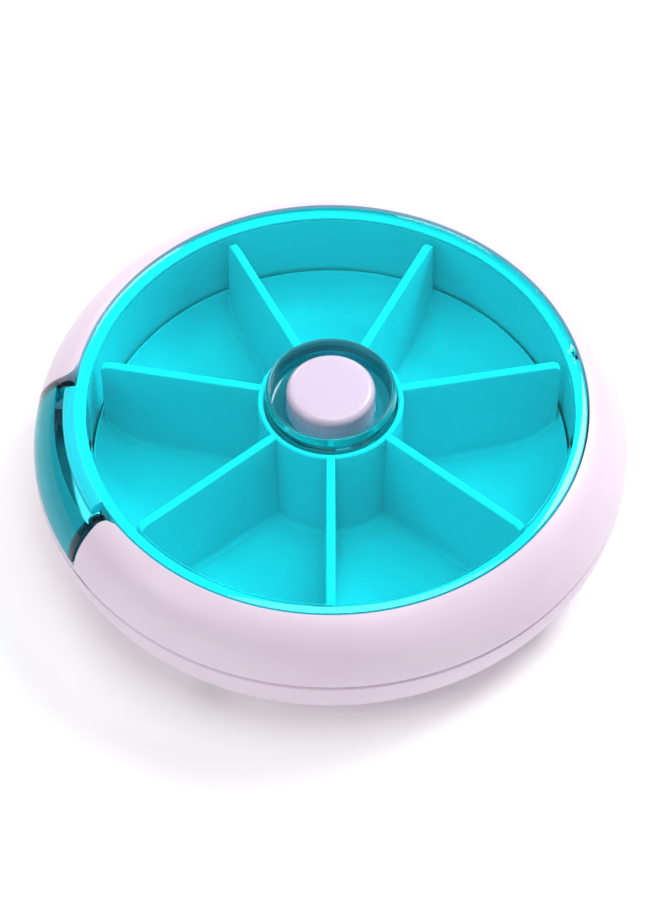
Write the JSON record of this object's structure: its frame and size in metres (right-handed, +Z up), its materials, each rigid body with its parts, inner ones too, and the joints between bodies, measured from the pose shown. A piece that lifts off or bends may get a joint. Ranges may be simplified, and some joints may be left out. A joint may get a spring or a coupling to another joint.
{
  "type": "rotary pill organiser",
  "caption": "Round rotary pill organiser with a clear teal lid, a turning tray of wedge compartments, a centre push button and a hinged outlet flap in the side of its pale pink body.",
  "frame": {"origin": "centre of the flat underside", "axes": "+Z up along the tray's axis; the outlet door faces -Y"},
  "size_m": [0.09, 0.09, 0.0256],
  "materials": {
    "shell_abs": "satin moulded",
    "button_abs": "satin moulded",
    "clear_teal": "polished clear tinted polystyrene",
    "tray_pp": "fine moulded",
    "wall_pp": "fine moulded",
    "acetal": "machined-smooth moulded",
    "spring_steel": "drawn wire",
    "zinc_steel": "zinc plated"
  },
  "bodies": {
    "housing": {"base_shell": "shell_abs", "outer_ring": "shell_abs", "inner_wall": "wall_pp", "lid": "clear_teal", "door_pin_left": "zinc_steel", "door_pin_right": "zinc_steel", "centre_post": "acetal", "centre_screw": "zinc_steel", "slip_washer": "acetal", "detent_spring": "spring_steel", "button_spring": "spring_steel", "body_screw_1": "zinc_steel", "body_screw_2": "zinc_steel", "body_screw_3": "zinc_steel", "body_screw_4": "zinc_steel"},
    "tray": {"pill_tray": "tray_pp"},
    "button": {"push_button": "button_abs"},
    "drive": {"drive_sleeve": "acetal", "pawl_ring": "acetal"},
    "door": {"outlet_door": "clear_teal"}
  },
  "joints": [
    {"name": "tray_spin", "type": "hinge", "parent": "housing", "child": "tray", "pos_m": [0, 0, 0.002], "axis": [0, 0, 1], "continuous": true},
    {"name": "button_press", "type": "slide", "parent": "housing", "child": "button", "axis": [0, 0, -1], "range_m": [0, 0.0024], "stiffness_N_per_m": 600, "springref_m": -0.003, "deforming": ["button_spring"]},
    {"name": "sleeve_turn", "type": "hinge", "parent": "housing", "child": "drive", "pos_m": [0, 0, 0.0045], "axis": [0, 0, 1], "range_deg": [-51.93, 0.5]},
    {"name": "door_swing", "type": "hinge", "parent": "housing", "child": "door", "pos_m": [0, -0.0378, 0.02], "axis": [-1, 0, 0], "range_deg": [0, 70]}
  ],
  "couplings": [
    {"joint": "sleeve_turn", "follows": "button_press", "rad_per_m": -374}
  ]
}
